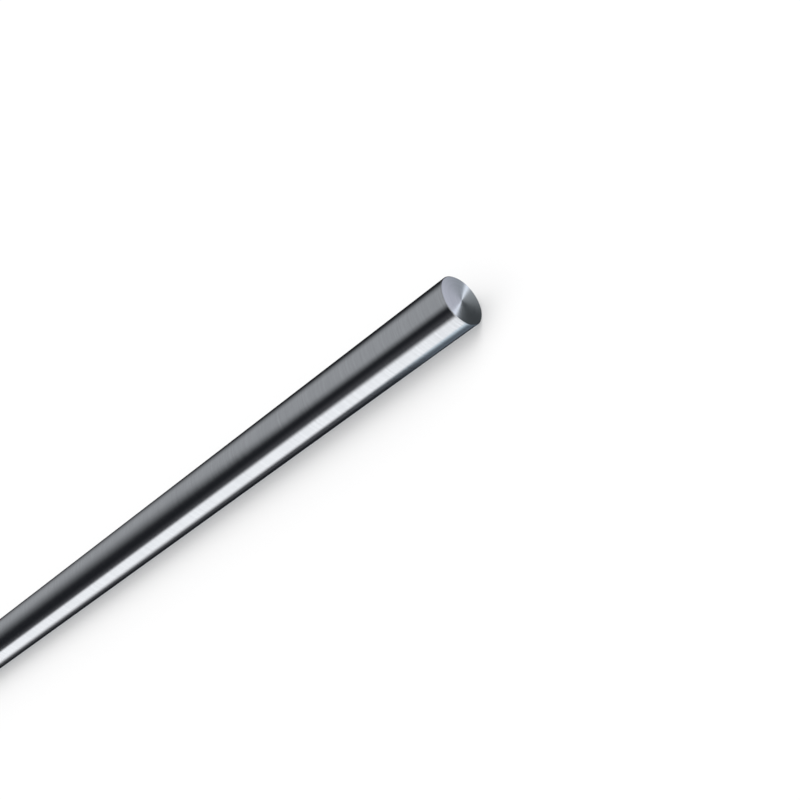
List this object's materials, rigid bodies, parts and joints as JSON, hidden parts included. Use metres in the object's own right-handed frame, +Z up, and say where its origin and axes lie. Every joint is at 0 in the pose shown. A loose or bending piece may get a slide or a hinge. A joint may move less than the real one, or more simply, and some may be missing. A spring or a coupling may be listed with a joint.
{
  "type": "round metal bar",
  "caption": "Solid round steel bar, ground bright along its length, with both ends faced square and lightly chamfered; raw stock or a plain shaft.",
  "frame": {"origin": "on the bar's axis, halfway along its length", "axes": "+X along the bar's axis, towards the end that faces the viewer in the picture; +Z up with the bar lying on a level floor"},
  "size_m": [1, 0.0398, 0.04],
  "materials": {
    "ground_steel": "bright ground along the length, with fine marks around the bar; end faces turned, with concentric tool marks"
  },
  "bodies": {
    "root": {"round_bar": "ground_steel"}
  },
  "joints": []
}
